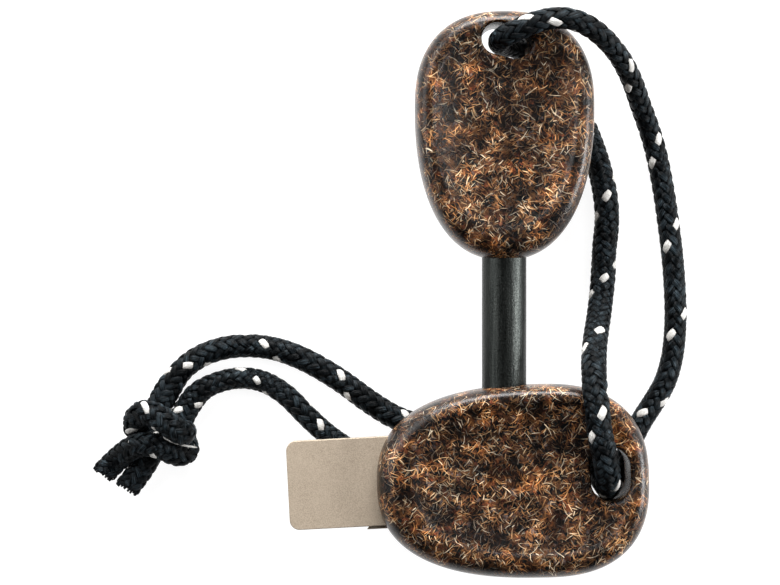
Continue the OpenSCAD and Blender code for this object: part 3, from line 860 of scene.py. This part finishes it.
def surface_height(at, centre, turn, half, head, tail, nh, nt, shift):
    """Height of the front face over points (mm)."""
    a = math.radians(turn)
    d = np.atleast_2d(at) - np.array(centre)
    x = d[:, 0] * math.cos(a) + d[:, 1] * math.sin(a)
    y = -d[:, 0] * math.sin(a) + d[:, 1] * math.cos(a)
    rows = half_profile()
    ks, zs = np.array([r[0] for r in rows]), np.array([r[1] for r in rows])
    best = np.zeros(len(x))
    for _ in range(60):
        s = np.where(best > CREASE, (1 - best) / (1 - CREASE), 1.0)
        u, w = x - s * shift[0], y - s * shift[1]
        th = np.arctan2(w, u)
        best = 0.5 * best + 0.5 * np.hypot(u, w) / egg(th, half, head, tail, nh, nt)
    return np.interp(best, ks, zs)


def obround_ring(length, width, count):
    run, r = (length - width) / 2, width / 2
    a = np.linspace(-math.pi / 2, math.pi / 2, count // 2)
    right = np.stack([run + r * np.cos(a), r * np.sin(a)], 1)
    left = np.stack([-run - r * np.cos(a), -r * np.sin(a)], 1)
    ring = np.concatenate([right, left])
    nrm = np.concatenate([np.stack([np.cos(a), np.sin(a)], 1), np.stack([-np.cos(a), -np.sin(a)], 1)])
    return ring, nrm


def hole_cutter(name, centre, turn, length, width, height_at, fillet=0.8):
    ring, nrm = obround_ring(length, width, 96)
    a = math.radians(turn)
    rot = np.array([[math.cos(a), -math.sin(a)], [math.sin(a), math.cos(a)]])
    ring, nrm = ring @ rot.T + np.array(centre), nrm @ rot.T
    zs = height_at(ring)
    rows = []
    for sign in (1, -1):
        part = []
        for f in np.linspace(0, math.radians(72), 9):
            part.append((fillet * (1 - math.cos(f)), zs - fillet + fillet * math.sin(f)))
        off, top = part[-1]
        part.append((off + 1.6, top + 0.6))
        part.append((off + 1.6, np.full(len(ring), 12.0)))
        rows += [(o, z * sign) for o, z in (part[::-1] if sign > 0 else part)]
    verts = np.concatenate([np.column_stack([ring + o * nrm, z]) for o, z in rows])
    m = len(ring)
    faces = [list(range(m))]
    for k in range(len(rows) - 1):
        for i in range(m):
            j = (i + 1) % m
            faces.append([k * m + i, (k + 1) * m + i, (k + 1) * m + j, k * m + j])
    faces.append([(len(rows) - 1) * m + i for i in range(m)][::-1])
    return link(name, mesh_from(name, verts, faces, False))


def tube_cutter(name, x, r, y0, y1, flare_y, flare=0.5, sign=1):
    """Cylinder along Y from y0 to y1."""
    count = 96
    phi = 2 * math.pi * np.arange(count) / count
    rows = [(y0, r), (y1, r)]
    verts = np.concatenate([np.stack([x + rr * np.cos(phi), np.full(count, y), rr * np.sin(phi)], 1)
                            for y, rr in rows])
    faces = [list(range(count)), list(range(2 * count - 1, count - 1, -1))]
    for i in range(count):
        j = (i + 1) % count
        faces.append([i, count + i, count + j, j])
    return link(name, mesh_from(name, verts, faces, False))


def cut(obj, cutters):
    for c in cutters:
        bm = bmesh.new()
        bm.from_mesh(c.data)
        bmesh.ops.recalc_face_normals(bm, faces=bm.faces)
        bm.to_mesh(c.data)
        bm.free()
        mod = obj.modifiers.new("cut", "BOOLEAN")
        mod.operation = "DIFFERENCE"
        mod.solver = "EXACT"
        mod.object = c
    dg = bpy.context.evaluated_depsgraph_get()
    new = bpy.data.meshes.new_from_object(obj.evaluated_get(dg))
    old = obj.data
    obj.modifiers.clear()
    obj.data = new
    bpy.data.meshes.remove(old)
    for c in cutters:
        me = c.data
        bpy.data.objects.remove(c)
        bpy.data.meshes.remove(me)
    obj.data.shade_smooth()
    obj.data.set_sharp_from_angle(angle=math.radians(38))


ROD = dict(centre=(6.5, 33.62), turn=90, half=16.1, head=17.0, tail=27.6, nh=2.4, nt=2.3, shift=(-0.3, 0))
STR = dict(centre=(13.4, -33.6), turn=1.3, half=17.3, head=19.0, tail=29.8, nh=2.5, nt=2.5, shift=(0.5, 0.7))

rod_handle = pebble("rod_handle_body", **ROD)
striker_handle = pebble("striker_handle_body", **STR)
cut(rod_handle, [
    hole_cutter("hole_a", (6.7, 45.0), -14, 9.0, 5.6, lambda p: surface_height(p, **ROD)),
    tube_cutter("bore_a", 6.5, 4.1, 0.0, 22.5, 6.0)])
PLATE_AT, PLATE_TURN = (-32.4, -34.6), 3


def plate_ring(grow=0.0):
    """Outline of the plate without its tang holes, in its own frame."""
    w, r = 8.0, 1.8
    pts = []
    for sy, a0 in ((1, 90), (-1, 180)):
        cx, cy = r, sy * (w - r)
        for a in np.linspace(a0, a0 + 90, 13):
            pts.append((cx + (r + grow) * math.cos(math.radians(a)), cy + (r + grow) * math.sin(math.radians(a))))
    pts += [(21, -w - grow), (21, -5.5 - grow), (30.5, -5.5 - grow), (30.5, 5.5 + grow), (21, 5.5 + grow),
            (21, w + grow)]
    return np.array(pts)


def plate_place(pts):
    a = math.radians(PLATE_TURN)
    rot = np.array([[math.cos(a), -math.sin(a)], [math.sin(a), math.cos(a)]])
    return pts @ rot.T + np.array(PLATE_AT)


def prism(name, ring, z0, z1):
    m = len(ring)
    v = np.concatenate([np.column_stack([ring, np.full(m, z0)]), np.column_stack([ring, np.full(m, z1)])])
    faces = [list(range(m))[::-1], list(range(m, 2 * m))]
    faces += [[i, (i + 1) % m, m + (i + 1) % m, m + i] for i in range(m)]
    return link(name, mesh_from(name, v, faces, False))


cut(striker_handle, [
    hole_cutter("hole_b", (25.2, -32.2), 92, 9.6, 7.0, lambda p: surface_height(p, **STR)),
    tube_cutter("bore_b", 6.5, 4.05, -43.0, -10.0, -16.0),
    prism("slot", plate_place(plate_ring(0.02)), -0.92, 0.92)])

for h, cadnode, body in ((rod_handle, "rod_handle", "rod_unit"), (striker_handle, "striker_handle", "striker_unit")):
    dress(h, COMPOSITE)
    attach(h, body)
    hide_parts(cadnode)


# ---- rod ------------------------------------------------------------------
def lathe(name, x, rows, count=128):
    """Solid of revolution about a line along Y: rows of (y, r)."""
    phi = 2 * math.pi * np.arange(count) / count
    verts = [np.array([[x, rows[0][0], 0.0]])]
    for y, r in rows:
        verts.append(np.stack([x + r * np.cos(phi), np.full(count, y), -r * np.sin(phi)], 1))
    verts.append(np.array([[x, rows[-1][0], 0.0]]))
    v = np.concatenate(verts)
    faces = [[0, 1 + (i + 1) % count, 1 + i] for i in range(count)]
    for k in range(len(rows) - 1):
        for i in range(count):
            a, b = 1 + k * count + i, 1 + k * count + (i + 1) % count
            faces.append([a, b, b + count, a + count])
    last = 1 + len(rows) * count
    faces += [[last, 1 + (len(rows) - 1) * count + i, 1 + (len(rows) - 1) * count + (i + 1) % count]
              for i in range(count)]
    return link(name, mesh_from(name, v, faces))


y0, y1, c = -42.8, 22.2, 0.6
rows = [(y0, 3.35), (y0 + 0.02, 3.4)]
rows += [(y0 + c * f, 3.4 + 0.6 * f) for f in (0.1, 0.5, 0.9)] + [(y0 + c + 0.05, 4.0)]
rows += [(y, 4.0) for y in np.arange(y0 + 1.5, y1 - 1.4, 1.0)]
rows += [(y1 - c - 0.05, 4.0)] + [(y1 - c * f, 3.4 + 0.6 * f) for f in (0.9, 0.5, 0.1)] + [(y1 - 0.02, 3.4), (y1, 3.35)]
rod = lathe("ferro_rod_body", 6.5, rows)
rod.data.set_sharp_from_angle(angle=math.radians(35))
dress(rod, FERRO)
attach(rod, "rod_unit")
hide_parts("ferro_rod")

# ---- plate ----------------------------------------------------------------
plate = prism("striker_plate_body", plate_place(plate_ring()), -0.9, 0.9)
holes = []
for s in (-1, 1):
    at = plate_place(np.array([[25.75, s * 2.75]]))[0]
    phi = np.linspace(0, 2 * math.pi, 49)[:-1]
    holes.append(prism("tang_hole", np.stack([at[0] + 1.6 * np.cos(phi), at[1] + 1.6 * np.sin(phi)], 1), -2, 2))
cut(plate, holes)
bev = plate.modifiers.new("edge", "BEVEL")
bev.width = 0.00012
bev.segments = 3
bev.limit_method = "ANGLE"
bev.angle_limit = math.radians(50)
dress(plate, STEEL)
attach(plate, "striker_unit")
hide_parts("striker_plate")

lug_ring = plate_place(np.array([[14.4, -7.8], [13.8, -8.6], [20, -8.6], [20, -7.8]])[::-1])
lug = prism("striker_plate_lug", lug_ring, -0.9, 0.0)
dress(lug, STEEL)
bev = lug.modifiers.new("edge", "BEVEL")
bev.width = 0.0001
bev.segments = 2
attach(lug, "striker_unit")

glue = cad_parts["rod_adhesive"]
glue = bpy.data.objects["rod_adhesive"] if not hasattr(glue, "data") else glue
dress(glue, RESIN)


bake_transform(cord_a)
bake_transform(cord_b)
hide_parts("lanyard_feed", "lanyard_loop", "lanyard_knot", "lanyard_end_b", "lanyard_core_b")
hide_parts("lanyard_return", "lanyard_end_a", "lanyard_core_a")


# ---- floor, world, lights -------------------------------------------------
v = [(-2000, -2000, -11.6), (2000, -2000, -11.6), (2000, 2000, -11.6), (-2000, 2000, -11.6)]
floor = link("floor", mesh_from("floor", v, [[0, 1, 2, 3]], False))
dress(floor, FLOOR)

world = bpy.data.worlds.new("world")
bpy.context.scene.world = world
world.use_nodes = True
world.node_tree.nodes["Background"].inputs[0].default_value = (1, 1, 1, 1)
world.node_tree.nodes["Background"].inputs[1].default_value = 0.04


def area(name, at, aim, size, power, colour=(1, 1, 1)):
    data = bpy.data.lights.new(name, "AREA")
    data.shape = "RECTANGLE"
    data.size, data.size_y = size
    data.energy = power
    data.color = colour
    obj = bpy.data.objects.new(name, data)
    obj.location = at
    obj.rotation_euler = (Vector(aim) - Vector(at)).to_track_quat("-Z", "Y").to_euler()
    bpy.context.scene.collection.objects.link(obj)
    return obj


area("panel_right", (0.50, -0.05, 0.18), (0.0, -0.03, 0.0), (0.20, 0.30), 4.4)
area("panel_left", (-0.46, 0.18, 0.30), (0.0, 0.0, 0.0), (0.46, 0.40), 2.6)
area("panel_back", (0.0, 0.60, 0.24), (0.0, 0.0, 0.0), (0.60, 0.40), 16.0)
area("box_right", (0.25, 0.10, 0.50), (0.0, 0.0, 0.0), (0.10, 0.13), 0.34)
area("box_left", (-0.27, 0.24, 0.48), (0.0, 0.0, 0.0), (0.11, 0.13), 0.46)
bpy.context.scene.view_settings.view_transform = "Standard"
